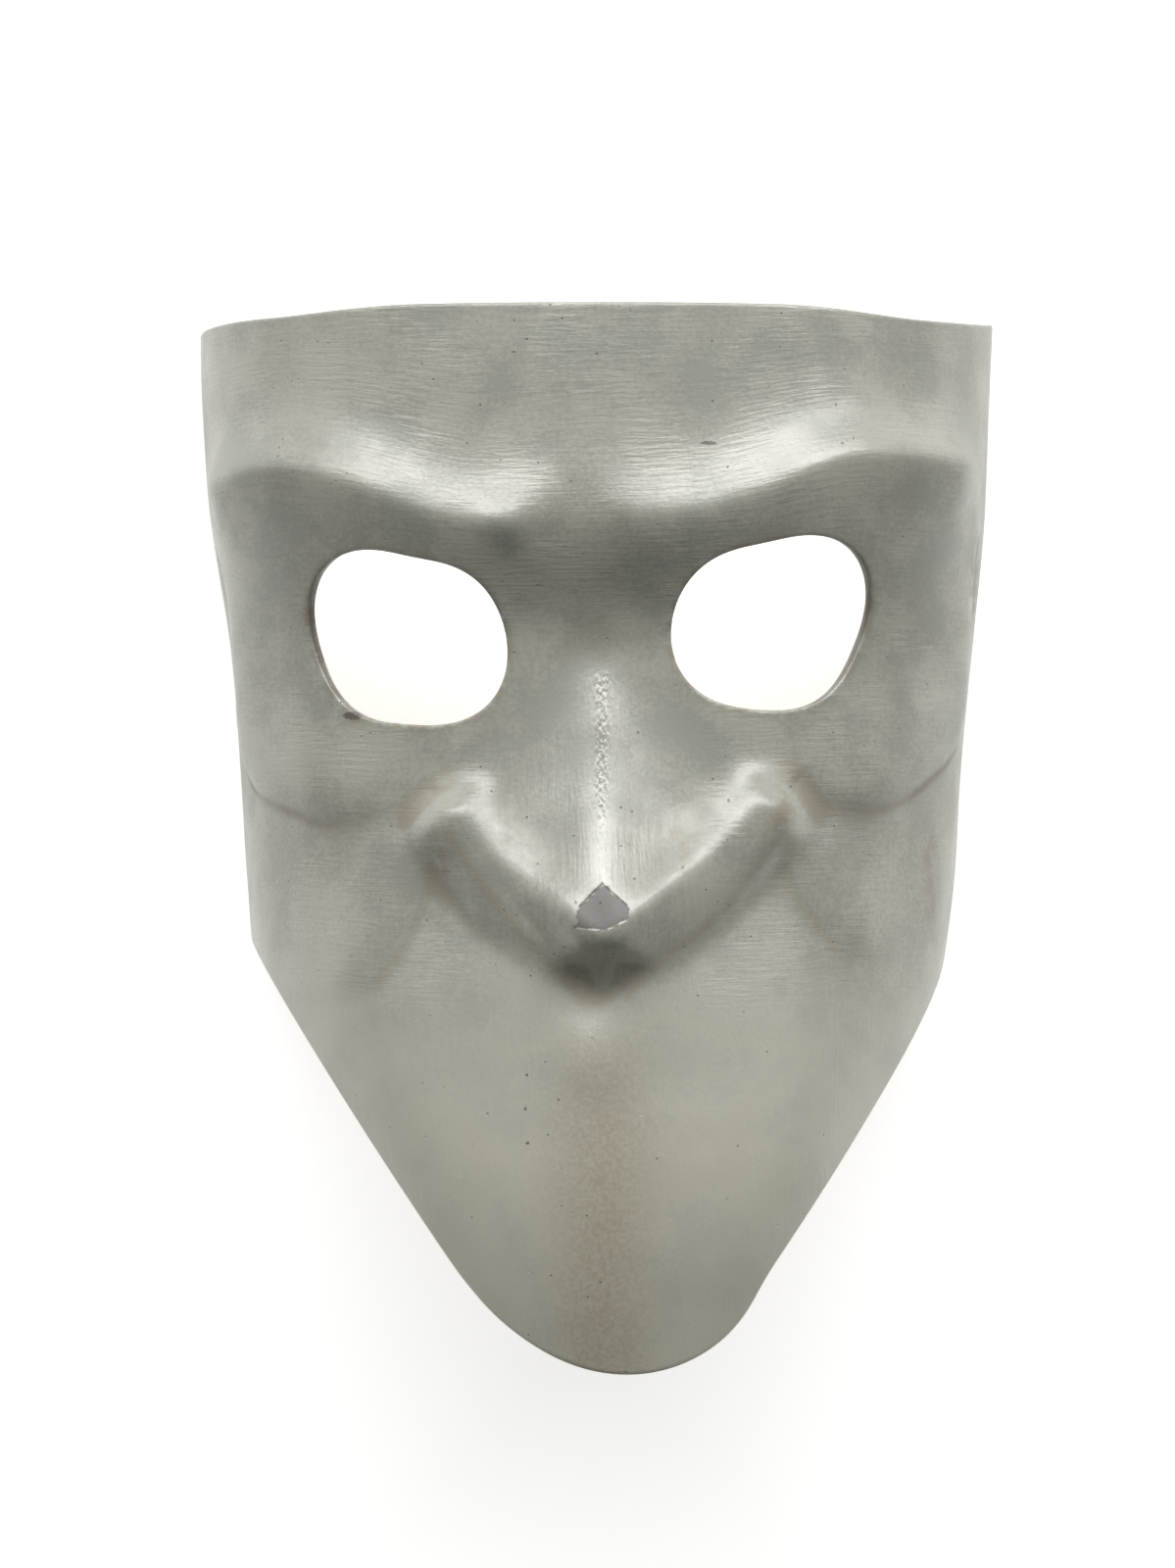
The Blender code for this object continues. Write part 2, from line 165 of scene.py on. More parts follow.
# Cheek pads and the folds below them
PAD_FOLDS = (
    ((-0.1020, 0.0540), (-0.0985, 0.0400), (-0.0970, 0.0275), (-0.0960, 0.0180), (-0.0930, 0.0110),
     (-0.0860, 0.0050), (-0.0730, 0.0010), (-0.0580, -0.0015), (-0.0460, 0.0015), (-0.0370, 0.0060),
     (-0.0280, 0.0090)),
    ((0.1010, 0.0570), (0.0985, 0.0430), (0.0985, 0.0290), (0.0960, 0.0175), (0.0890, 0.0115),
     (0.0780, 0.0065), (0.0700, 0.0033), (0.0560, 0.0015), (0.0480, 0.0040), (0.0390, 0.0090),
     (0.0330, 0.0130)),
)
PAD_HEIGHT = 0.0025
PAD_REACH = 0.0200
CHEEK_FOLDS = (
    ((-0.0300, 0.0020), (-0.0330, -0.0060), (-0.0360, -0.0145), (-0.0410, -0.0240), (-0.0510, -0.0335),
     (-0.0680, -0.0410)),
    ((0.0360, 0.0000), (0.0385, -0.0090), (0.0445, -0.0190), (0.0535, -0.0270), (0.0670, -0.0330)),
)
CHEEK_HEIGHT = 0.0026
CHEEK_REACH = 0.0160
PAD_FOLD_WIDTH = 0.0042
CHEEK_FOLD_WIDTH = 0.0062
PAD_FOLD_FADE = (0.15, 0.35)
CHEEK_FOLD_FADE = (0.30, 0.30)
PAD_CREASE = 0.0011
CHEEK_CREASE = 0.0013
CREASE_ROUND = 0.0010
FOLD_EASE = 0.0080

# Eye holes: centre, mean radius, and the size and direction of each wave round it
EYES = (
    ((-0.0394, 0.0366), 0.0194, ((2, 0.00234, -22.0), (3, 0.00054, 11.0), (4, 0.00068, -41.0))),
    ((0.0362, 0.0397), 0.0192, ((2, 0.00222, 22.0), (3, 0.00083, 48.0), (4, 0.00055, 37.0))),
)

# Ribbon holes through the side walls: side, height, distance above the rim plane
RIBBON_HOLE_RADIUS = 0.0025
RIBBON_HOLES = ((-1.0, 0.0545, 0.010), (1.0, 0.0575, 0.010))

# Steps of the sums below
RIGHT_ANGLE = np.pi / 2
PATH_STEPS = 96
ARC_STEPS = 24
ANGLE_SAMPLES = 721
HALVINGS = 40
SETTLE_STEPS = 8
NUDGE = 1e-4
EVEN_ROUNDS = 8
BORDER_REACH = 1.8
SHEET_RINGS = 5
SHEET_ROUNDS = 16

# Hand-formed unevenness: span and share of the height, and its fading at the rims and the ends
UNEVEN_WAVES = ((0.028, 1.0), (0.011, 0.35))
EVEN_RIM = 0.02
EVEN_END = 0.05

# Smoothing rounds and depth for finding hollows and crests, and rounds for the inner side
HOLLOW_ROUNDS = 14
HOLLOW_DEPTH = 0.00026
INNER_ROUNDS = 24

# Brown stains, and in the last two rows bands of painted shade on the right side: X, height, reach in X and
# in height, strength
STAINS_AND_SHADE = (
    (-0.0318, -0.0086, 0.0035, 0.0070, 1.0),
    (0.0380, 0.0006, 0.0032, 0.0066, 1.0),
    (-0.0166, -0.0024, 0.0050, 0.0060, 0.7),
    (0.0158, -0.0044, 0.0050, 0.0060, 0.8),
    (-0.0504, 0.0205, 0.0035, 0.0016, 1.0),
    # Painted shade: the darker band on the lower right cheek
    (0.0706, -0.0130, 0.0022, 0.0120, 0.7),
    # Painted shade: the dark band along the right side wall
    (0.0808, 0.0470, 0.0016, 0.0120, 1.0),
)

# Places of painted shade between the brows, at the top corners and on the lower cheeks: X, height, reach in X
# and in height, strength
PAINTED_SHADE_SPOTS = (
    (0.0700, -0.0150, 0.0160, 0.0180, 1.0),
    (-0.0640, -0.0110, 0.0140, 0.0160, 0.6),
    (0.0860, 0.0800, 0.0060, 0.0250, 1.0),
    (-0.0880, 0.0800, 0.0050, 0.0250, 0.8),
    (-0.0020, 0.0665, 0.0100, 0.0080, 0.7),
    (0.0660, -0.0330, 0.0120, 0.0120, 0.6),
)

# Lines of painted shade and brown dirt below the wings of the nose and along the folds of the cheek pads
WING_CREASES = (
    ((-0.0298, -0.0031), (-0.0183, -0.0187), (-0.0095, -0.0276), (-0.0041, -0.0336)),
    ((0.0374, -0.0031), (0.0248, -0.0187), (0.0149, -0.0258), (0.0061, -0.0340)),
)
WING_CREASE_SHARE = 0.7
LINE_WIDTH = 0.0013
LINE_FADE = (0.55, 0.95)
EYE_STAIN_WIDTH = 0.0012

# Outline of the patch where the paint is gone from the tip of the nose
WORN_PATCH = ((0.0010, -0.0118), (-0.0036, -0.0164), (-0.0045, -0.0206), (0.0016, -0.0210),
              (0.0058, -0.0190), (0.0061, -0.0163))

# A crinkled run of varnish down the nose: middle, half width, lower and upper end
RUN = (0.0009, 0.0015, -0.0110, 0.0310)

# The creamier lower face, and the band of painted shade down its middle: middle, half width, upper end
WARM_TOP = -0.0200
WARM_SOFT = 0.0300
SHADE_BAND = (0.0010, 0.0105, -0.0300)

# Small dark marks: X, height, reach in X and in height
CHIPS = (
    (0.0226, 0.0762, 0.0017, 0.0004),
    (-0.0505, 0.0208, 0.0022, 0.0009),
    (0.0266, 0.0039, 0.0004, 0.0004),
    (0.0083, 0.0177, 0.0003, 0.0003),
    (-0.0139, -0.0500, 0.0003, 0.0003),
    (-0.0142, -0.0565, 0.0003, 0.0004),
    (-0.0137, -0.0630, 0.0004, 0.0003),
)

# Where the brush ran up and down on the nose and the prow, and how its strokes follow the brows
UPRIGHT_HALF_WIDTH = 0.0160
UPRIGHT_TOP = 0.0450
UPRIGHT_SOFT = 0.0120
END_SOFT = 0.0030
PROW_TOP = -0.0300
BROW_LIE = 0.0720
BROW_LIE_REACH = 0.0200
BROW_LIE_SHARE = 0.6

# Cut edges, and the shine of the varnish
BEVEL_ANGLE = np.radians(50.0)
SMOOTH_ANGLE = np.radians(60.0)
VARNISH_SHINE = 0.9

# Studio
FLOOR_SIZE = 8.0
FLOOR_ROUGHNESS = 0.9
CAMERA_PLACE = (0.0, 0.031, 0.8)
CAMERA_TARGET = (-0.0020, 0.0066, 0.05)
LIGHT_TARGET = (0.0, 0.0, 0.05)

# Soft lights: name, place, size, and which power of the studio each has
LIGHTS = (
    ("key_light", (0.10, 2.60, 1.70), (5.0, 1.0), "key_power"),
    ("left_light", (-2.50, 1.70, 1.00), (2.0, 1.2), "side_power"),
    ("right_light", (2.50, 1.70, 1.00), (2.0, 1.2), "side_power"),
)


class BautaShape(bpy.types.PropertyGroup):
    wall: bpy.props.FloatProperty(
        name="Wall", description="Thickness of the papier-mâché", default=0.0025, min=0.001, max=0.005,
        subtype="DISTANCE", unit="LENGTH")
    edge_round: bpy.props.FloatProperty(
        name="Edge rounding", description="Rounding of every cut edge", default=0.0005, min=0.0,
        max=0.001, subtype="DISTANCE", unit="LENGTH")
    unevenness: bpy.props.FloatProperty(
        name="Unevenness", description="Height of the hand-formed unevenness", default=0.00022, min=0.0,
        max=0.001, subtype="DISTANCE", unit="LENGTH")
    columns: bpy.props.IntProperty(
        name="Columns", description="Faces of the sheet from rim to rim", default=196, min=60, max=240)
    rows: bpy.props.IntProperty(
        name="Rows", description="Faces of the sheet from the top edge to the chin", default=190, min=60,
        max=240)


class BautaFinish(bpy.types.PropertyGroup):
    paint: bpy.props.FloatVectorProperty(
        name="Paint", description="Off-white paint under the varnish", default=(0.350, 0.346, 0.292),
        size=3, min=0.0, max=1.0, subtype="COLOR")
    aged_paint: bpy.props.FloatVectorProperty(
        name="Aged paint", description="Cooler and darker patches of the paint",
        default=(0.262, 0.264, 0.226), size=3, min=0.0, max=1.0, subtype="COLOR")
    warm_paint: bpy.props.FloatVectorProperty(
        name="Warm paint", description="Creamier paint of the lower face and the nose",
        default=(0.375, 0.360, 0.298), size=3, min=0.0, max=1.0, subtype="COLOR")
    # Also the colour of the painted shade in the darkened places, along the creases and in two bands on the
    # right side
    grime_and_shade: bpy.props.FloatVectorProperty(
        name="Grime", description="Brown dirt in the hollows and round the holes",
        default=(0.200, 0.168, 0.110), size=3, min=0.0, max=1.0, subtype="COLOR")
    # Also painted shade, with dark brown wear, on the cut faces of the eye holes
    dark_and_shade: bpy.props.FloatVectorProperty(
        name="Dark marks", description="Pinholes, chips and the cut edges of the eye holes",
        default=(0.060, 0.048, 0.034), size=3, min=0.0, max=1.0, subtype="COLOR")
    bare: bpy.props.FloatVectorProperty(
        name="Bare tip", description="Grey ground where the paint is worn off the nose",
        default=(0.130, 0.120, 0.110), size=3, min=0.0, max=1.0, subtype="COLOR")
    paper: bpy.props.FloatVectorProperty(
        name="Inner paper", description="Unpainted paper inside the mask", default=(0.40, 0.36, 0.29),
        size=3, min=0.0, max=1.0, subtype="COLOR")
    gloss: bpy.props.FloatProperty(
        name="Varnish roughness", description="Roughness of the varnish", default=0.31, min=0.05, max=1.0)
    stroke_depth: bpy.props.FloatProperty(
        name="Stroke depth", description="Depth of the brush strokes", default=0.00012, min=0.0,
        max=0.001, subtype="DISTANCE", unit="LENGTH")


class BautaStudio(bpy.types.PropertyGroup):
    floor: bpy.props.FloatVectorProperty(
        name="Floor", description="Pale floor", default=(0.88, 0.88, 0.87), size=3, min=0.0, max=1.0,
        subtype="COLOR")
    floor_glow: bpy.props.FloatProperty(
        name="Floor glow", description="Light given off by the floor", default=0.65, min=0.0, max=2.0)
    key_power: bpy.props.FloatProperty(
        name="Key light", description="Power of the soft light above the forehead", default=138.0,
        min=0.0, max=200.0, unit="POWER")
    side_power: bpy.props.FloatProperty(
        name="Side lights", description="Power of the soft light on either side of it", default=8.0,
        min=0.0, max=100.0, unit="POWER")
    room: bpy.props.FloatProperty(
        name="Room light", description="Strength of the even light all round", default=0.22, min=0.0,
        max=2.0)
    lens: bpy.props.FloatProperty(
        name="Lens", description="Focal length of the camera", default=83.0, min=20.0, max=300.0,
        unit="CAMERA")


def smooth_step(low, high, value):
    t = np.clip((value - low) / (high - low), 0.0, 1.0)
    return t * t * (3.0 - 2.0 * t)


def through(stations, y):
    """Smooth curves through the rows of a table, read at the heights y."""
    table = np.array(sorted(stations))
    heights = table[:, 0]
    y = np.clip(y, heights[0], heights[-1])
    slot = np.clip(np.searchsorted(heights, y) - 1, 0, len(heights) - 2)
    step = heights[slot + 1] - heights[slot]
    t = (y - heights[slot]) / step
    curves = []
    for column in table[:, 1:].T:
        slope = np.gradient(column, heights)
        low, high = column[slot], column[slot + 1]
        low_slope, high_slope = slope[slot] * step, slope[slot + 1] * step
        curves.append((2 * t**3 - 3 * t**2 + 1) * low + (t**3 - 2 * t**2 + t) * low_slope
                      + (3 * t**2 - 2 * t**3) * high + (t**3 - t**2) * high_slope)
    return curves


def plain_point(angle, y):
    """Point of the plain shell at an angle from the middle line, and its outward direction in X and Z."""
    left, right, depth = through(STATIONS, y)
    half_width = np.where(angle < 0.0, left, right)
    sine, cosine = np.sin(angle), np.cos(angle)
    power = 2.0 / SECTION_POWER
    x = half_width * np.sign(sine) * np.abs(sine) ** power
    z = depth * np.abs(cosine) ** power
    out_x = np.sign(sine) * np.abs(sine) ** (2.0 - power) / half_width
    out_z = np.abs(cosine) ** (2.0 - power) / depth
    length = np.hypot(out_x, out_z)
    shift = FLANK_X * smooth_step(SHIFT_START_Y, CHIN_Y, y)
    return x + shift, z, out_x / length, out_z / length


def spread_at(angle, y):
    """Distance from the middle line, measured round the section."""
    total = np.zeros_like(angle)
    last_x, last_z, _, _ = plain_point(angle * 0.0, y)
    for step in range(1, ARC_STEPS + 1):
        x, z, _, _ = plain_point(angle * step / ARC_STEPS, y)
        total += np.hypot(x - last_x, z - last_z)
        last_x, last_z = x, z
    return total * np.sign(angle)


def towards_rim(angle, start):
    """Zero up to a share of the right angle, then rising to one at either rim."""
    return np.clip((np.abs(angle) / RIGHT_ANGLE - start) / (1.0 - start), 0.0, 1.0) ** 2


def front_trim(x, y):
    """Height of the trimmed lower edge as seen from the front: two straight flanks and a round tip."""
    lean = 1.0 - smooth_step(CHIN_Y, CHIN_Y + TIP_LEAN_HEIGHT, y)
    away = np.abs(x - FLANK_X - (CHIN_X - FLANK_X) * lean)
    touch = CHIN_TIP_RADIUS * np.cos(TRIM_HALF_ANGLE)
    inside = np.minimum(away, touch)
    arc = CHIN_TIP_RADIUS - np.sqrt(CHIN_TIP_RADIUS**2 - inside**2)
    return CHIN_Y + arc + (away - inside) / np.tan(TRIM_HALF_ANGLE)


def trim_height(angle):
    """Height where the shell is trimmed below, for each angle, found by halving."""
    low = np.full_like(angle, STATIONS[-1][0])
    high = np.full_like(angle, SHIFT_START_Y)
    for _ in range(HALVINGS):
        middle = 0.5 * (low + high)
        x, _, _, _ = plain_point(angle, middle)
        above = middle > front_trim(x, middle)
        high = np.where(above, middle, high)
        low = np.where(above, low, middle)
    lift = np.where(angle < 0.0, *JAW_LIFTS)
    return high + lift * towards_rim(angle, JAW_LIFT_START)


def top_height(angle):
    """Height of the upper edge, which dips a little to either side and again at both corners."""
    side_share = np.abs(angle) / RIGHT_ANGLE
    shoulder = np.where(angle < 0.0, *TOP_SHOULDER_DIPS) * smooth_step(*TOP_SHOULDER, side_share)
    corner = np.where(angle < 0.0, *TOP_CORNER_DIPS) * towards_rim(angle, TOP_CORNER_START)
    return TOP_EDGE_Y - shoulder - corner


def smooth_path(points):
    """Many points along a smooth curve through a few."""
    points = np.array(points)
    ends = np.vstack([2 * points[0] - points[1], points, 2 * points[-1] - points[-2]])
    place = np.linspace(0.0, len(points) - 1.0, PATH_STEPS)
    slot = np.minimum(place.astype(int), len(points) - 2)
    t = (place - slot)[:, None]
    a, b, c, d = (ends[slot + shift] for shift in range(4))
    return 0.5 * (2 * b + (c - a) * t + (2 * a - 5 * b + 4 * c - d) * t**2 + (3 * b - a - 3 * c + d) * t**3)


def beside(points, across, y):
    """Distance above a carved line (below is negative), share of its length, and distance past its ends."""
    path = smooth_path(points)
    place = np.stack([across, y], axis=-1)
    nearest = np.argmin(((place[..., None, :] - path) ** 2).sum(axis=-1), axis=-1)
    tangent = np.gradient(path, axis=0)
    length = np.linalg.norm(tangent, axis=1, keepdims=True)
    tangent = tangent / length
    offset = place - path[nearest]
    along = (offset * tangent[nearest]).sum(axis=-1)
    side = tangent[nearest][..., 0] * offset[..., 1] - tangent[nearest][..., 1] * offset[..., 0]
    share = (nearest + along / length[nearest][..., 0]) / (PATH_STEPS - 1)
    total = length.sum()
    past = np.maximum(np.maximum(-share, share - 1.0), 0.0) * total
    if points[0][0] > points[-1][0]:
        side = -side
    return side, np.clip(share, 0.0, 1.0), past


def softly_beside(points, across, y):
    """Distance above a carved line and share of its length, eased where two parts of it are as near."""
    path = smooth_path(points)
    tangent = np.gradient(path, axis=0)
    tangent = tangent / np.linalg.norm(tangent, axis=1, keepdims=True)
    offset = np.stack([across, y], axis=-1)[..., None, :] - path
    far = (offset**2).sum(axis=-1)
    weight = np.exp((far.min(axis=-1, keepdims=True) - far) / FOLD_EASE**2)
    weight = weight / weight.sum(axis=-1, keepdims=True)
    side = (weight * (tangent[:, 0] * offset[..., 1] - tangent[:, 1] * offset[..., 0])).sum(axis=-1)
    share = (weight * np.linspace(0.0, 1.0, PATH_STEPS)).sum(axis=-1)
    if points[0][0] > points[-1][0]:
        side = -side
    return side, share


def ridge(points, across, y, heights, width_above, width_below, ends, fullness=(2.0, 2.0)):
    """A rounded ridge along a carved line, with its own softness on either side and at its ends."""
    side, share, past = beside(points, across, y)
    width = np.where(side > 0.0, width_above, width_below)
    height = heights[0] + (heights[1] - heights[0]) * share
    far = np.hypot(side / width, past / np.where(share < 0.5, *ends))
    return height * np.exp(-far ** np.where(side > 0.0, *fullness))


def fold(points, across, y, height, reach, width, fade, depth):
    """A crease with a full pad on its upper or outer side that rounds down into it."""
    _, _, past = beside(points, across, y)
    side, share = softly_beside(points, across, y)
    crease = -depth * np.exp(-np.hypot(side, CREASE_ROUND) / width)
    rise = 0.5 * (1.0 + np.tanh(side / width)) * np.exp(-(np.maximum(side, 0.0) / reach) ** 2)
    ends = smooth_step(0.0, fade[0], share) * (1.0 - smooth_step(1.0 - fade[1], 1.0, share))
    return (crease + height * rise) * ends * np.exp(-(past / width) ** 2)


def mound(across, y, middle, reach, height, fullness=1.0):
    """A round rise, or a hollow where the height is negative."""
    far = ((across - middle[0]) / reach[0]) ** 2 + ((y - middle[1]) / reach[1]) ** 2
    return height * np.exp(-far ** fullness)


def brows_and_sockets(spread, y):
    total = mound(spread, y, NASION, NASION_REACH, -NASION_DEPTH)
    for line in BROWS:
        total += ridge(line, spread, y, BROW_HEIGHTS, BROW_ABOVE, BROW_BELOW, BROW_ENDS, BROW_FULLNESS)
    total += ridge(FROWN, spread, y, (FROWN_HEIGHT, 0.0), FROWN_WIDTH, FROWN_WIDTH, FROWN_ENDS)
    for middle in SOCKETS:
        total += mound(spread, y, middle, SOCKET_REACH, -SOCKET_DEPTH, SOCKET_FULLNESS)
    return total


def pads_and_folds(spread, y):
    total = np.zeros_like(y)
    for line in PAD_FOLDS:
        total += fold(line, spread, y, PAD_HEIGHT, PAD_REACH, PAD_FOLD_WIDTH, PAD_FOLD_FADE, PAD_CREASE)
    for line in CHEEK_FOLDS:
        total += fold(line, spread, y, CHEEK_HEIGHT, CHEEK_REACH, CHEEK_FOLD_WIDTH, CHEEK_FOLD_FADE,
                      CHEEK_CREASE)
    return total


def nose_foot(x):
    """Height of the V-shaped foot of the nose."""
    offset = x - NOSE_FOOT[0]
    slope = np.where(offset < 0.0, *NOSE_FOOT_SLOPES)
    return NOSE_FOOT[1] + slope * (np.sqrt(offset**2 + NOSE_FOOT_ROUND**2) - NOSE_FOOT_ROUND)


def nose_and_wings(x, y):
    rise, half_width = through(NOSE, y)
    away = np.abs(x - NOSE_X)
    low, high = NOSE_RIDGE_ENDS
    crest = NOSE_RIDGE_HEIGHT * smooth_step(low - NOSE_RIDGE_FADE[0], low, y)
    crest *= 1.0 - smooth_step(high - NOSE_RIDGE_FADE[1], high, y)
    total = rise * np.exp(-(away / half_width) ** 2)
    total += crest * np.exp(-(away / NOSE_RIDGE_WIDTH) ** NOSE_RIDGE_FULLNESS)
    total *= smooth_step(0.0, NOSE_FOOT_SOFT, y - nose_foot(x))
    total += mound(x, y, NOSE_BED, NOSE_BED_REACH, NOSE_BED_HEIGHT)
    for line, below in zip(WINGS, WINGS_BELOW):
        total += ridge(line, x, y, WING_HEIGHTS, WING_ABOVE, below, WING_ENDS, WING_FULLNESS)
    return total + mound(x, y, DIMPLE, (DIMPLE_WIDTH, DIMPLE_WIDTH), -DIMPLE_DEPTH)


def column_angles():
    """Angles from the middle line, their even shares from rim to rim, and the trimmed height at each."""
    angles = np.linspace(-RIGHT_ANGLE, RIGHT_ANGLE, ANGLE_SAMPLES)
    spread = spread_at(angles, np.zeros_like(angles))
    return angles, (spread - spread[0]) / (spread[-1] - spread[0]), trim_height(angles)


def place_on_shell(flat):
    """Angle and height on the shell for places of the flat sheet, from 0 to 1."""
    angles, shares, trims = column_angles()
    angle = np.interp(flat[:, 0], shares, angles)
    bottom = np.interp(angle, angles, trims)
    return angle, bottom + (top_height(angle) - bottom) * flat[:, 1]


def formed(flat):
    """Where places of the flat sheet lie once it is pressed over the form."""
    angle, y = place_on_shell(flat)
    x, z, out_x, out_z = plain_point(angle, y)
    spread = spread_at(angle, y)
    outward = brows_and_sockets(spread, y) + pads_and_folds(spread, y)
    return np.stack([x + out_x * outward, y, z + out_z * outward + nose_and_wings(x, y)], axis=-1)


def settled(flat, wanted, axes):
    """Slides places over the form until two of their coordinates are the wanted ones."""
    flat = flat.copy()
    for _ in range(SETTLE_STEPS):
        here = formed(flat)[:, axes]
        by_u = (formed(flat + (NUDGE, 0.0))[:, axes] - here) / NUDGE
        by_v = (formed(flat + (0.0, NUDGE))[:, axes] - here) / NUDGE
        gap = wanted - here
        area = by_u[:, 0] * by_v[:, 1] - by_u[:, 1] * by_v[:, 0]
        flat[:, 0] += (gap[:, 0] * by_v[:, 1] - gap[:, 1] * by_v[:, 0]) / area
        flat[:, 1] += (by_u[:, 0] * gap[:, 1] - by_u[:, 1] * gap[:, 0]) / area
    return flat


def eye_reach(eye, turn):
    """Distance from the middle of an eye hole to its hand-cut edge, in each direction."""
    _, radius, waves = eye
    return radius + sum(size * np.cos(count * (turn - np.radians(way))) for count, size, way in waves)


def turn_and_distance(points, middle):
    offset = points - np.array(middle)
    return np.arctan2(offset[:, 1], offset[:, 0]), np.hypot(offset[:, 0], offset[:, 1])


def holes():
    """Each hole: the two axes it is drawn in, its middle, its reach in each direction and its side."""
    made = [((0, 1), eye[0], lambda turn, eye=eye: eye_reach(eye, turn), 0.0) for eye in EYES]
    for side, y, z in RIBBON_HOLES:
        made.append(((1, 2), (y, z), lambda turn: RIBBON_HOLE_RADIUS + 0.0 * turn, side))
    return made


def read_points(mesh):
    points = np.empty(len(mesh.vertices) * 3)
    mesh.vertices.foreach_get("co", points)
    return points.reshape(-1, 3)


def read_normals(mesh):
    normals = np.empty(len(mesh.vertices) * 3)
    mesh.vertex_normals.foreach_get("vector", normals)
    return normals.reshape(-1, 3)


def write_points(mesh, points):
    mesh.vertices.foreach_set("co", points.ravel())
    mesh.update()


def flat_places(mesh):
    """Places of the flat sheet's vertices, from 0 to 1."""
    return read_points(mesh)[:, :2] + 0.5


def start_clean():
    """Nothing is selected and nothing is in edit mode."""
    if bpy.context.object and bpy.context.object.mode != "OBJECT":
        bpy.ops.object.mode_set(mode="OBJECT")
    bpy.ops.object.select_all(action="DESELECT")


def edit_chosen(sheet, kind, chosen):
    """Goes into edit mode with only these vertices, edges or faces selected."""
    bpy.context.view_layer.objects.active = sheet
    sheet.select_set(True)
    bpy.ops.object.mode_set(mode="EDIT")
    bpy.ops.mesh.select_mode(type={"verts": "VERT", "edges": "EDGE", "faces": "FACE"}[kind])
    bpy.ops.mesh.select_all(action="DESELECT")
    edited = bmesh.from_edit_mesh(sheet.data)
    for part, wanted in zip(getattr(edited, kind), chosen):
        if wanted:
            part.select_set(True)
    edited.select_flush_mode()
    bmesh.update_edit_mesh(sheet.data)


def border_of(sheet, flat, inside):
    """Vertices at the edge of a hole, where some of the faces round them are gone."""
    uses = np.zeros(len(sheet.data.vertices), int)
    corners = np.array([loop.vertex_index for loop in sheet.data.loops])
    np.add.at(uses, corners, 1)
    within = (flat > NUDGE).all(axis=1) & (flat < 1.0 - NUDGE).all(axis=1)
    return np.flatnonzero((uses < 4) & within & inside)


def in_order(sheet, border, turn):
    """The vertices of a hole's border, one after another round it."""
    mesh = sheet.data
    uses = np.bincount([loop.edge_index for loop in mesh.loops], minlength=len(mesh.edges))
    ends = np.array([edge.vertices[:] for edge in mesh.edges])
    joined = {int(index): [] for index in border}
    chosen = ends[(uses == 1) & np.isin(ends, border).all(axis=1)].tolist()
    for first, second in chosen:
        joined[first].append(second)
        joined[second].append(first)
    walk = [border[0], joined[border[0]][0]]
    while len(walk) < len(border):
        first, second = joined[walk[-1]]
        walk.append(second if first == walk[-2] else first)
    swept = np.unwrap(turn[walk])
    return np.array(walk if swept[-1] > swept[0] else walk[::-1])


def evened(turn):
    """Directions round a hole, moved apart until they are nearly even."""
    turn = np.unwrap(turn)
    for _ in range(EVEN_ROUNDS):
        ahead = np.append(turn[1:], turn[0] + 2.0 * np.pi)
        behind = np.insert(turn[:-1], 0, turn[-1] - 2.0 * np.pi)
        turn = 0.5 * turn + 0.25 * (ahead + behind)
    return turn


def cut_holes(sheet):
    """Takes away the faces of the flat sheet that lie in a hole once it is formed."""
    flat = flat_places(sheet.data)
    place = formed(flat)
    faces = np.array([face.vertices[:] for face in sheet.data.polygons])
    middles = place[faces].mean(axis=1)
    gone = np.zeros(len(faces), bool)
    for axes, middle, reach, side in holes():
        turn, far = turn_and_distance(middles[:, axes], middle)
        gone |= (far < reach(turn)) & (middles[:, 0] * side >= 0.0)
    edit_chosen(sheet, "faces", gone)
    bpy.ops.mesh.delete(type="FACE")
    bpy.ops.object.mode_set(mode="OBJECT")


def split_corners(edited, on_border):
    """Splits each face that has three corners at a hole, from the middle one to the fourth."""
    for face in edited.faces[:]:
        away = [vertex for vertex in face.verts if not on_border[vertex.index]]
        if len(face.verts) == 4 and len(away) == 1:
            across = face.verts[face.verts[:].index(away[0]) - 2]
            bmesh.utils.face_split(face, away[0], across)


def ease_borders(sheet):
    """Draws the stepped border of each hole out to its true edge, and eases the grid round it."""
    flat = flat_places(sheet.data)
    place = formed(flat)
    on_border = np.zeros(len(flat), bool)
    for axes, middle, reach, side in holes():
        turn, far = turn_and_distance(place[:, axes], middle)
        near = (far < BORDER_REACH * reach(turn)) & (place[:, 0] * side >= 0.0)
        border = border_of(sheet, flat, near)
        border = in_order(sheet, border, turn)
        even = evened(turn[border])
        outline = np.array(middle) + reach(even)[:, None] * np.stack([np.cos(even), np.sin(even)], axis=-1)
        flat[border] = settled(flat[border], outline, list(axes))
        on_border[border] = True
    write_points(sheet.data, np.column_stack([flat - 0.5, np.zeros(len(flat))]))
    edit_chosen(sheet, "verts", on_border)
    for _ in range(SHEET_RINGS):
        bpy.ops.mesh.select_more()
    edited = bmesh.from_edit_mesh(sheet.data)
    edited.verts.ensure_lookup_table()
    for index in np.flatnonzero(on_border):
        edited.verts[index].select_set(False)
    edited.select_flush_mode()
    bpy.ops.mesh.vertices_smooth(factor=0.5, repeat=SHEET_ROUNDS)
    bpy.ops.object.mode_set(mode="OBJECT")
    edit_chosen(sheet, "verts", on_border)
    split_corners(bmesh.from_edit_mesh(sheet.data), on_border)
    bpy.ops.mesh.select_more()
    bpy.ops.mesh.quads_convert_to_tris(quad_method="BEAUTY")
    bpy.ops.object.mode_set(mode="OBJECT")


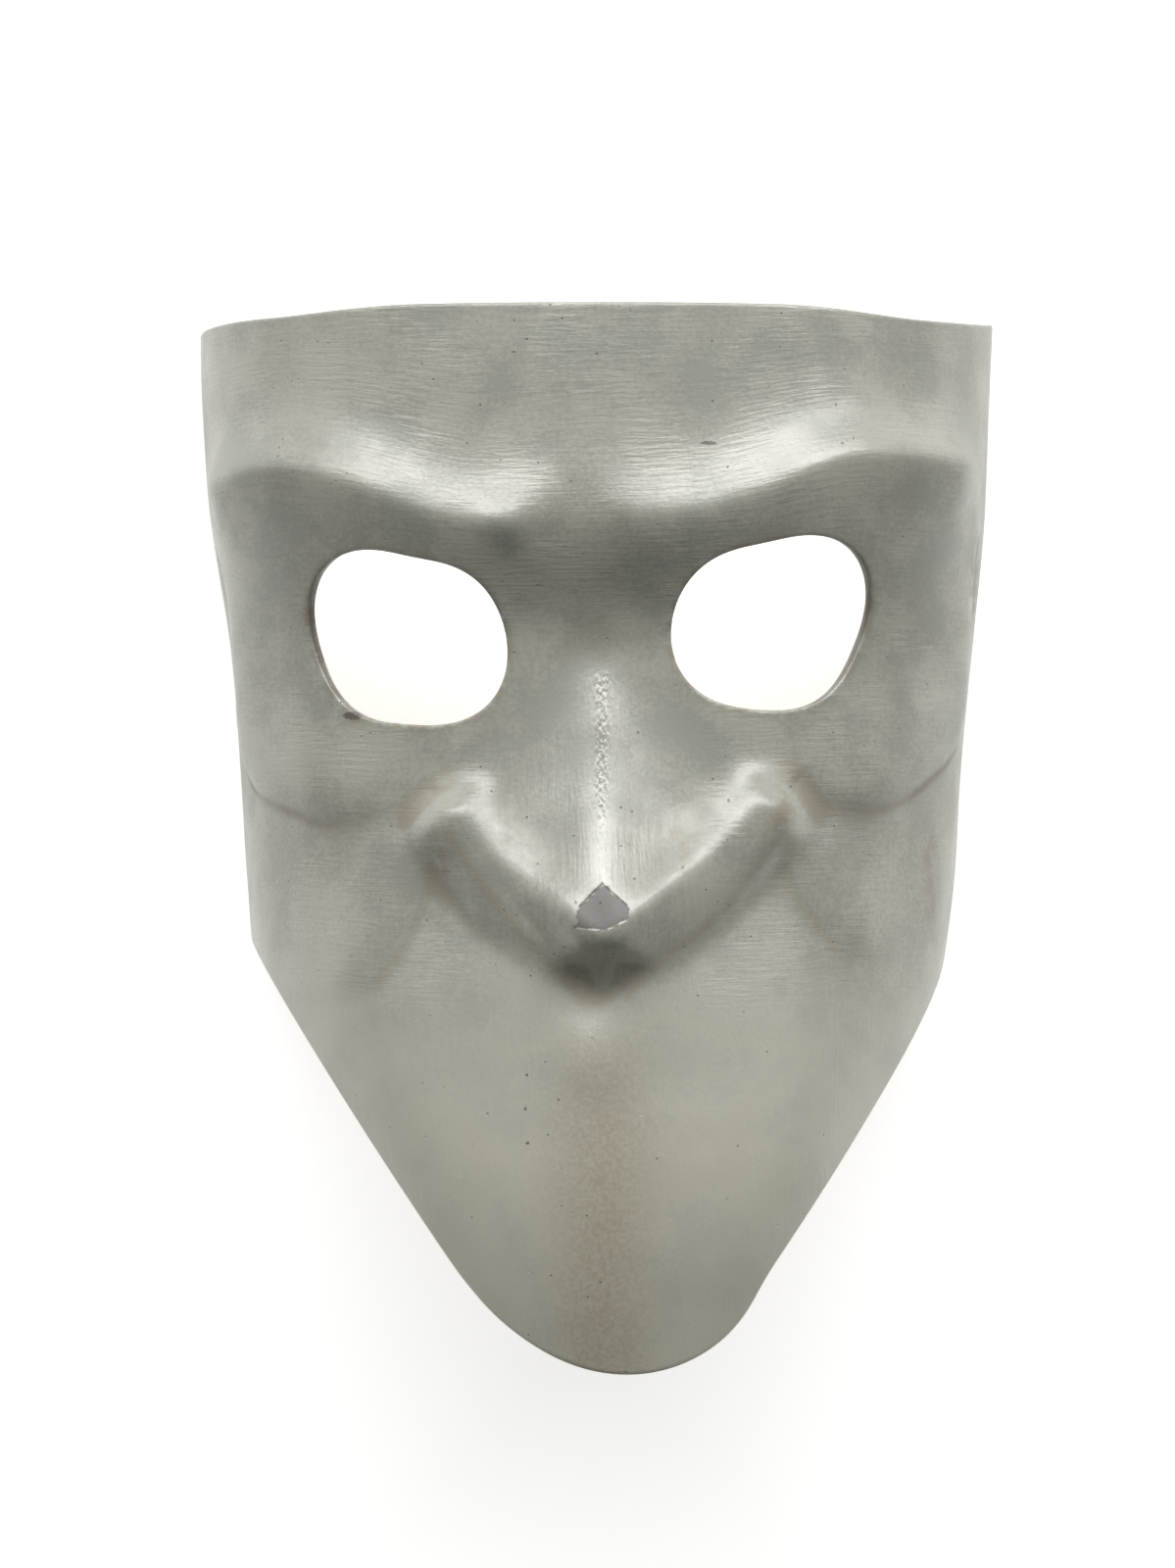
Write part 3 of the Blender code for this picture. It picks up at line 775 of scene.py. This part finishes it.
def flat_sheet(shape):
    """The flat sheet before it is formed, with every hole cut in it."""
    start_clean()
    bpy.ops.mesh.primitive_grid_add(x_subdivisions=shape.columns, y_subdivisions=shape.rows, size=1.0)
    sheet = bpy.context.object
    cut_holes(sheet)
    ease_borders(sheet)
    return sheet


def unevenness(points):
    """Height of the hand-formed unevenness, about one at most."""
    total = np.zeros(len(points))
    for span, share in UNEVEN_WAVES:
        total += share * np.array([noise.noise(Vector(point) / span) for point in points])
    return total


def neighbour_mean(mesh, values, rounds):
    """Values spread evenly over the neighbouring vertices, several times."""
    ends = np.empty(len(mesh.edges) * 2, int)
    mesh.edges.foreach_get("vertices", ends)
    ends = ends.reshape(-1, 2)
    start, end = np.concatenate([ends[:, 0], ends[:, 1]]), np.concatenate([ends[:, 1], ends[:, 0]])
    count = np.bincount(start, minlength=len(values))[:, None]
    for _ in range(rounds):
        total = np.stack([np.bincount(start, values[end, axis], len(values)) for axis in range(3)], axis=-1)
        values = 0.5 * values + 0.5 * total / count
    return values


def store(mesh, name, values):
    """Keeps one number for each vertex, for the materials to read."""
    kind = "FLOAT" if values.ndim == 1 else "FLOAT_VECTOR"
    attribute = mesh.attributes.new(name, kind, "POINT")
    attribute.data.foreach_set("value" if values.ndim == 1 else "vector", values.ravel())


def stained_and_shaded(x, y):
    """Brown stains at the ends of the wings, in the valleys beside the nose and round the eye holes, and
    painted shade in two bands on the right side.
    """
    total = np.zeros(len(x))
    for middle_x, middle_y, reach_x, reach_y, strength in STAINS_AND_SHADE:
        total = np.maximum(total, mound(x, y, (middle_x, middle_y), (reach_x, reach_y), strength))
    for eye in EYES:
        turn, far = turn_and_distance(np.stack([x, y], axis=-1), eye[0])
        total = np.maximum(total, np.exp(-((far - eye_reach(eye, turn)) / EYE_STAIN_WIDTH) ** 2))
    return total


def brow_rise(spread):
    """How far the brows stand over the level at which the brush strokes are straight."""
    spans, heights = zip(*sorted(BROWS[0] + BROWS[1]))
    return BROW_LIE_SHARE * (np.interp(spread, spans, heights) - BROW_LIE)


def shaded_dirty_creases(spread, x, y):
    """Painted shade and brown dirt: one along the folds of the cheek pads and below the wings of the nose."""
    total = np.zeros(len(x))
    for line in PAD_FOLDS:
        side, share = softly_beside(line, spread, y)
        _, _, past = beside(line, spread, y)
        total += np.exp(-np.hypot(side, past) ** 2 / LINE_WIDTH**2) * (1.0 - smooth_step(*LINE_FADE, share))
    for line in WING_CREASES:
        side, _, past = beside(line, x, y)
        total += WING_CREASE_SHARE * np.exp(-np.hypot(side, past) ** 2 / LINE_WIDTH**2)
    return total


def painted_shade_places(x, y):
    """Painted shade: the darker band down the lower face and the other darkened places."""
    total = np.exp(-((x - SHADE_BAND[0]) / SHADE_BAND[1]) ** 2) * (1.0 - smooth_step(SHADE_BAND[2] - WARM_SOFT, SHADE_BAND[2], y))
    for middle_x, middle_y, reach_x, reach_y, strength in PAINTED_SHADE_SPOTS:
        total = np.maximum(total, mound(x, y, (middle_x, middle_y), (reach_x, reach_y), strength))
    return total


def within_outline(outline, x, y):
    """Distance from the nearest side of a many-sided outline, positive inside it."""
    place = np.stack([x, y], axis=-1)
    nearest = np.full(len(x), np.inf)
    inside = np.zeros(len(x), bool)
    for start, end in zip(np.array(outline), np.roll(outline, -1, axis=0)):
        side = end - start
        share = np.clip((place - start) @ side / (side @ side), 0.0, 1.0)
        nearest = np.minimum(nearest, np.linalg.norm(place - start - share[:, None] * side, axis=1))
        crosses = (start[1] > y) != (end[1] > y)
        inside ^= crosses & (x < start[0] + (y - start[1]) * side[0] / (side[1] + (side[1] == 0.0)))
    return np.where(inside, nearest, -nearest)


def shell_marks(mesh, flat):
    """What the paint needs to know of each place: its lie on the sheet, strokes, hollows, stains and wear,
    and where shade is painted.
    """
    angle, y = place_on_shell(flat)
    spread = spread_at(angle, y)
    points = read_points(mesh)
    smoothed = neighbour_mean(mesh, points, HOLLOW_ROUNDS)
    hollow = ((smoothed - points) * read_normals(mesh)).sum(axis=1) / HOLLOW_DEPTH
    x = points[:, 0]
    nose = smooth_step(UPRIGHT_HALF_WIDTH + UPRIGHT_SOFT, UPRIGHT_HALF_WIDTH, np.abs(x))
    nose *= 1.0 - smooth_step(UPRIGHT_TOP - UPRIGHT_SOFT, UPRIGHT_TOP, y)
    prow = 1.0 - smooth_step(PROW_TOP - UPRIGHT_SOFT, PROW_TOP, y)
    run = smooth_step(RUN[2] - END_SOFT, RUN[2], y) * (1.0 - smooth_step(RUN[3] - END_SOFT, RUN[3], y))
    cross = y - brow_rise(spread) * np.exp(-((y - BROW_LIE) / BROW_LIE_REACH) ** 2)
    return {
        "lie": np.stack([spread, cross, np.zeros_like(y)], axis=-1),
        "upright": np.maximum(nose, prow),
        "hollow": np.clip(hollow, -1.0, 1.0),
        "stain": stained_and_shaded(x, y),
        "worn": within_outline(WORN_PATCH, x, y),
        "run": run * np.exp(-((x - RUN[0]) / RUN[1]) ** 2),
        "warm": 1.0 - smooth_step(WARM_TOP - WARM_SOFT, WARM_TOP, y),
        "dull": painted_shade_places(x, y),
        "crease": shaded_dirty_creases(spread, x, y),
    }


def apply_modifier(piece, kind, **settings):
    """Adds a modifier with these settings and applies it."""
    modifier = piece.modifiers.new(kind.lower(), kind)
    for name, value in settings.items():
        setattr(modifier, name, value)
    bpy.context.view_layer.objects.active = piece
    bpy.ops.object.modifier_apply(modifier=modifier.name)


def smooth_inside(shell, inner):
    """Smooths the inner side of the wall, apart from the vertices at its cut edges."""
    outer = len(inner) - np.count_nonzero(inner)
    edges = np.array([edge.vertices[:] for edge in shell.data.edges])
    crossing = edges[(edges[:, 0] < outer) != (edges[:, 1] < outer)]
    on_edge = np.zeros(outer, bool)
    on_edge[crossing.min(axis=1)] = True
    edit_chosen(shell, "verts", inner & ~np.concatenate([on_edge, on_edge]))
    bpy.ops.mesh.vertices_smooth(factor=0.5, repeat=INNER_ROUNDS)
    bpy.ops.object.mode_set(mode="OBJECT")


def model_shell(shape):
    """The whole shell: the sheet is formed, given its wall, eased inside and rounded at its edges."""
    shell = flat_sheet(shape)
    shell.name = shell.data.name = "mask_painted_shell"
    mesh = shell.data
    flat = flat_places(mesh)
    points = formed(flat)
    write_points(mesh, points)
    marks = shell_marks(mesh, flat)
    from_ends = np.minimum(flat[:, 1], 1.0 - flat[:, 1])
    height = shape.unevenness * unevenness(points) * smooth_step(0.0, EVEN_RIM, points[:, 2])
    height *= smooth_step(0.0, EVEN_END, from_ends)
    write_points(mesh, points + height[:, None] * read_normals(mesh))
    outer = len(mesh.vertices)
    apply_modifier(shell, "SOLIDIFY", thickness=shape.wall, offset=-1.0)
    inner = np.arange(len(mesh.vertices)) >= outer
    for name, values in marks.items():
        store(mesh, name, np.concatenate([values, values]))
    store(mesh, "inside", inner.astype(float))
    smooth_inside(shell, inner)
    points = read_points(mesh)
    rim = np.concatenate([(flat[:, 0] < NUDGE) | (flat[:, 0] > 1.0 - NUDGE)] * 2)
    points[rim, 2] = 0.0
    write_points(mesh, points)
    apply_modifier(shell, "BEVEL", width=shape.edge_round, segments=2, limit_method="ANGLE",
                   angle_limit=BEVEL_ANGLE, use_clamp_overlap=False)
    bpy.ops.object.shade_smooth_by_angle(angle=SMOOTH_ANGLE)
    return shell


def add_node(tree, kind, inputs, **settings):
    """A node with its settings, and its inputs set to numbers or linked to other sockets."""
    node = tree.nodes.new(kind)
    for name, value in settings.items():
        setattr(node, name, value)
    for name, value in inputs.items():
        if isinstance(value, bpy.types.NodeSocket):
            tree.links.new(value, node.inputs[name])
        else:
            node.inputs[name].default_value = value
    return node


def attribute(tree, name, output="Fac"):
    return add_node(tree, "ShaderNodeAttribute", {}, attribute_name=name).outputs[output]


def calculate(tree, operation, first, second=0.0, clamp=False):
    return add_node(tree, "ShaderNodeMath", {0: first, 1: second}, operation=operation,
                    use_clamp=clamp).outputs[0]


def times(tree, first, second):
    return calculate(tree, "MULTIPLY", first, second)


def stretched(tree, vector, scale):
    return add_node(tree, "ShaderNodeMapping", {"Vector": vector, "Scale": scale}).outputs[0]


def grain(tree, vector, scale, detail=3.0, roughness=0.5):
    return add_node(tree, "ShaderNodeTexNoise", {
        "Vector": vector, "Scale": scale, "Detail": detail, "Roughness": roughness}).outputs["Fac"]


def ramp(tree, value, low, high, start=0.0, end=1.0):
    return add_node(tree, "ShaderNodeMapRange", {
        "Value": value, "From Min": low, "From Max": high, "To Min": start, "To Max": end},
        interpolation_type="SMOOTHSTEP").outputs["Result"]


def blend_colours(tree, factor, first, second):
    return add_node(tree, "ShaderNodeMix", {0: factor, 6: first, 7: second},
                    data_type="RGBA").outputs[2]


def blend_numbers(tree, factor, first, second):
    return add_node(tree, "ShaderNodeMix", {0: factor, 2: first, 3: second}).outputs[0]


def opaque(colour):
    return (*colour, 1.0)


def brush_strokes(tree, lie):
    """Height of the brush strokes, which run round the forehead, and up and down the nose and prow."""
    around = grain(tree, stretched(tree, lie, (130.0, 1250.0, 1.0)), 1.0, 2.0, 0.65)
    upright = grain(tree, stretched(tree, lie, (1150.0, 130.0, 1.0)), 1.0, 2.0, 0.65)
    along = blend_numbers(tree, attribute(tree, "upright"), around, upright)
    return times(tree, along, ramp(tree, grain(tree, lie, 70.0, 1.0), 0.38, 0.62, 0.3, 1.0))


def spots(tree, place, marks):
    """One inside each small mark of a table, with a ragged edge."""
    rough = add_node(tree, "ShaderNodeTexNoise", {"Vector": place, "Scale": 1500.0, "Detail": 2.0})
    bent = add_node(tree, "ShaderNodeVectorMath", {0: rough.outputs["Color"], 1: (0.5, 0.5, 0.5)},
                    operation="SUBTRACT").outputs[0]
    total = 0.0
    for x, y, reach_x, reach_y in marks:
        away = add_node(tree, "ShaderNodeMapping", {
            "Vector": place, "Location": (-x / reach_x, -y / reach_y, 0.0),
            "Scale": (1.0 / reach_x, 1.0 / reach_y, 0.0)}).outputs[0]
        away = add_node(tree, "ShaderNodeVectorMath", {0: away, 1: bent}, operation="ADD").outputs[0]
        far = add_node(tree, "ShaderNodeVectorMath", {0: away}, operation="LENGTH").outputs["Value"]
        total = calculate(tree, "MAXIMUM", ramp(tree, far, 0.8, 1.1, 1.0, 0.0), total)
    return total


def pinholes(tree, lie, fineness, share):
    """One in small round holes scattered thinly over the paint."""
    cells = add_node(tree, "ShaderNodeTexVoronoi", {"Vector": lie, "Scale": fineness})
    near = ramp(tree, cells.outputs["Distance"], 0.05, 0.11, 1.0, 0.0)
    lucky = add_node(tree, "ShaderNodeSeparateColor", {0: cells.outputs["Color"]}).outputs[0]
    return times(tree, near, ramp(tree, lucky, 1.0 - share, 1.0 - 0.9 * share))


def varnished_paint(tree, finish):
    """Colour, roughness and height of the painted side."""
    place = add_node(tree, "ShaderNodeTexCoord", {}).outputs["Object"]
    lie = attribute(tree, "lie", "Vector")
    strokes = brush_strokes(tree, lie)
    cloudy = grain(tree, place, 48.0, 4.0, 0.62)
    fine = grain(tree, place, 1100.0, 2.0, 0.6)
    run = attribute(tree, "run")
    crinkle = grain(tree, stretched(tree, place, (1500.0, 650.0, 1.0)), 1.0, 1.0)
    holes_here = pinholes(tree, lie, 420.0, 0.22)
    marks = spots(tree, place, CHIPS)
    patchy = calculate(tree, "ADD", ramp(tree, cloudy, 0.36, 0.66),
                       ramp(tree, strokes, 0.1, 0.6, 0.22, -0.22))
    patchy = calculate(tree, "ADD", patchy, ramp(tree, fine, 0.3, 0.7, -0.3, 0.3), clamp=True)
    warm = times(tree, attribute(tree, "warm"), ramp(tree, cloudy, 0.4, 0.7, 1.0, 0.6))
    colour = blend_colours(tree, patchy, opaque(finish.paint), opaque(finish.aged_paint))
    colour = blend_colours(tree, warm, colour, opaque(finish.warm_paint))
    # Painted shade in the grime colour: the band down the lower face and the places between the brows, at the
    # top corners and on the lower cheeks
    dull = times(tree, attribute(tree, "dull"), ramp(tree, fine, 0.3, 0.7, 0.3, 0.6))
    colour = blend_colours(tree, dull, colour, opaque(finish.grime_and_shade))
    hollow = attribute(tree, "hollow")
    # Brown dirt in the hollows, stains together with the bands of painted shade on the right side, and
    # painted shade with dirt along the creases, all in the grime colour
    dirt_and_shade = times(tree, ramp(tree, hollow, 0.2, 1.0), ramp(tree, cloudy, 0.3, 0.6, 0.3, 0.65))
    stain = times(tree, attribute(tree, "stain"), ramp(tree, grain(tree, place, 260.0), 0.35, 0.62))
    dirt_and_shade = calculate(tree, "MAXIMUM", dirt_and_shade, times(tree, stain, 0.8))
    # Painted shade with brown dirt along the creases
    lines = times(tree, attribute(tree, "crease"), ramp(tree, cloudy, 0.3, 0.6, 0.45, 0.9))
    dirt_and_shade = calculate(tree, "MAXIMUM", dirt_and_shade, lines)
    colour = blend_colours(tree, dirt_and_shade, colour, opaque(finish.grime_and_shade))
    ragged = calculate(tree, "ADD", attribute(tree, "worn"),
                       ramp(tree, grain(tree, place, 700.0, 4.0, 0.7), 0.3, 0.7, -0.0006, 0.0006))
    bare = ramp(tree, ragged, -0.0001, 0.0001)
    colour = blend_colours(tree, bare, colour, opaque(finish.bare))
    specks = ramp(tree, grain(tree, place, 1900.0), 0.62, 0.70, 0.0, 0.6)
    colour = blend_colours(tree, times(tree, bare, specks), colour, opaque(finish.grime_and_shade))
    # Painted shade, with dark brown wear, on the cut faces of the eye holes, joined to the pinholes and chips
    cut_face_shade = times(tree, ramp(tree, attribute(tree, "inside"), 0.02, 0.25), attribute(tree, "stain"))
    dark_marks_and_shade = calculate(tree, "MAXIMUM", times(tree, holes_here, 0.6), marks)
    dark_marks_and_shade = calculate(tree, "MAXIMUM", dark_marks_and_shade, times(tree, cut_face_shade, 0.8))
    colour = blend_colours(tree, times(tree, dark_marks_and_shade, 0.85), colour, opaque(finish.dark_and_shade))
    roughness = calculate(tree, "ADD", finish.gloss, ramp(tree, cloudy, 0.3, 0.7, -0.04, 0.06))
    roughness = calculate(tree, "ADD", roughness, times(tree, bare, 0.25))
    roughness = calculate(tree, "ADD", roughness, times(tree, dirt_and_shade, 0.2), clamp=True)
    roughness = calculate(tree, "SUBTRACT", roughness, times(tree, run, 0.12), clamp=True)
    height = calculate(tree, "ADD", strokes, times(tree, fine, 0.35))
    height = calculate(tree, "ADD", height, times(tree, run, times(tree, crinkle, 1.8)))
    height = calculate(tree, "SUBTRACT", height, times(tree, holes_here, 1.5))
    sunk = ramp(tree, attribute(tree, "worn"), -0.0003, 0.0003, 0.0, 1.2)
    height = calculate(tree, "SUBTRACT", height, sunk)
    return colour, roughness, height


def inner_paper(tree, finish):
    """Colour, roughness and height of the unpainted paper inside."""
    place = add_node(tree, "ShaderNodeTexCoord", {}).outputs["Object"]
    lie = attribute(tree, "lie", "Vector")
    strips = add_node(tree, "ShaderNodeTexVoronoi", {
        "Vector": stretched(tree, lie, (38.0, 60.0, 1.0)), "Scale": 1.0})
    shade = add_node(tree, "ShaderNodeSeparateColor", {0: strips.outputs["Color"]}).outputs[1]
    fibres = grain(tree, place, 700.0, 2.0, 0.6)
    darker = tuple(0.84 * part for part in finish.paper)
    mottled = calculate(tree, "ADD", times(tree, shade, 0.6), times(tree, fibres, 0.4))
    colour = blend_colours(tree, mottled, opaque(finish.paper), opaque(darker))
    height = calculate(tree, "ADD", times(tree, shade, 1.2), fibres)
    return colour, 0.88, height


def shell_material(finish):
    """Varnished off-white paint outside, bare paper inside, and the paint turned over the edges."""
    material = bpy.data.materials.new("varnished_off_white_paint")
    material.use_nodes = True
    tree = material.node_tree
    shader = tree.nodes["Principled BSDF"]
    place = add_node(tree, "ShaderNodeTexCoord", {}).outputs["Object"]
    ragged = calculate(tree, "ADD", attribute(tree, "inside"),
                       ramp(tree, grain(tree, place, 120.0), 0.3, 0.7, -0.12, 0.12))
    inside = ramp(tree, ragged, 0.72, 0.86)
    outer = varnished_paint(tree, finish)
    inner = inner_paper(tree, finish)
    tree.links.new(blend_colours(tree, inside, outer[0], inner[0]), shader.inputs["Base Color"])
    tree.links.new(blend_numbers(tree, inside, outer[1], inner[1]), shader.inputs["Roughness"])
    bump = add_node(tree, "ShaderNodeBump", {
        "Height": blend_numbers(tree, inside, outer[2], inner[2]), "Distance": finish.stroke_depth})
    tree.links.new(bump.outputs["Normal"], shader.inputs["Normal"])
    shader.inputs["Specular IOR Level"].default_value = VARNISH_SHINE
    return material


def floor_material(studio):
    material = bpy.data.materials.new("pale_floor")
    material.use_nodes = True
    shader = material.node_tree.nodes["Principled BSDF"]
    shader.inputs["Base Color"].default_value = opaque(studio.floor)
    shader.inputs["Roughness"].default_value = FLOOR_ROUGHNESS
    shader.inputs["Emission Color"].default_value = opaque(studio.floor)
    shader.inputs["Emission Strength"].default_value = studio.floor_glow
    return material


def facing(place, target, up):
    """Matrix of an object at a place whose -Z axis points at the target."""
    back = (Vector(place) - Vector(target)).normalized()
    right = Vector(up).cross(back).normalized()
    turned = Matrix((right, back.cross(right), back)).transposed()
    return Matrix.Translation(place) @ turned.to_4x4()


def add_soft_light(name, place, size, power):
    bpy.ops.object.light_add(type="AREA")
    light = bpy.context.object
    light.name = light.data.name = name
    light.matrix_world = facing(place, LIGHT_TARGET, (0.0, 0.0, 1.0))
    light.data.shape = "RECTANGLE"
    light.data.size, light.data.size_y = size
    light.data.energy = power


class BAUTA_OT_shell(bpy.types.Operator):
    """Model the papier-mâché shell and give it its paint"""

    bl_idname = "bauta.shell"
    bl_label = "Mask shell"

    def execute(self, context):
        shell = model_shell(context.scene.bauta_shape)
        shell.data.materials.clear()
        shell.data.materials.append(shell_material(context.scene.bauta_finish))
        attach(shell, "root")
        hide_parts("mask_shell")
        return {"FINISHED"}


class BAUTA_OT_stage(bpy.types.Operator):
    """Lay out the pale floor, the soft lights and the camera"""

    bl_idname = "bauta.stage"
    bl_label = "Floor, lights and camera"

    def execute(self, context):
        studio = context.scene.bauta_studio
        start_clean()
        bpy.ops.mesh.primitive_plane_add(size=FLOOR_SIZE)
        floor = context.object
        floor.name = floor.data.name = "pale_floor"
        floor.data.materials.append(floor_material(studio))
        for name, place, size, power in LIGHTS:
            add_soft_light(name, place, size, getattr(studio, power))
        world = bpy.data.worlds.new("studio_room")
        world.use_nodes = True
        world.node_tree.nodes["Background"].inputs["Color"].default_value = (1.0, 1.0, 1.0, 1.0)
        world.node_tree.nodes["Background"].inputs["Strength"].default_value = studio.room
        context.scene.world = world
        context.scene.view_settings.view_transform = "Standard"
        bpy.ops.object.camera_add()
        camera = context.object
        camera.name = camera.data.name = "photo_camera"
        camera.matrix_world = facing(CAMERA_PLACE, CAMERA_TARGET, (0.0, 1.0, 0.0))
        camera.data.lens = studio.lens
        context.scene.camera = camera
        return {"FINISHED"}


class BAUTA_PT_panel(bpy.types.Panel):
    bl_idname = "BAUTA_PT_panel"
    bl_label = "Bauta mask"
    bl_space_type = "VIEW_3D"
    bl_region_type = "UI"
    bl_category = "Bauta"

    def draw(self, context):
        for group in (context.scene.bauta_shape, context.scene.bauta_finish, context.scene.bauta_studio):
            box = self.layout.box()
            for name in group.__annotations__:
                box.prop(group, name)
        self.layout.operator(BAUTA_OT_shell.bl_idname)
        self.layout.operator(BAUTA_OT_stage.bl_idname)


CLASSES = (BautaShape, BautaFinish, BautaStudio, BAUTA_OT_shell, BAUTA_OT_stage, BAUTA_PT_panel)


def register():
    for kind in CLASSES:
        bpy.utils.register_class(kind)
    bpy.types.Scene.bauta_shape = bpy.props.PointerProperty(type=BautaShape)
    bpy.types.Scene.bauta_finish = bpy.props.PointerProperty(type=BautaFinish)
    bpy.types.Scene.bauta_studio = bpy.props.PointerProperty(type=BautaStudio)


def unregister():
    del bpy.types.Scene.bauta_studio
    del bpy.types.Scene.bauta_finish
    del bpy.types.Scene.bauta_shape
    for kind in reversed(CLASSES):
        bpy.utils.unregister_class(kind)


def main():
    register()
    bpy.ops.bauta.shell()
    bpy.ops.bauta.stage()


if __name__ == "__main__":
    main()
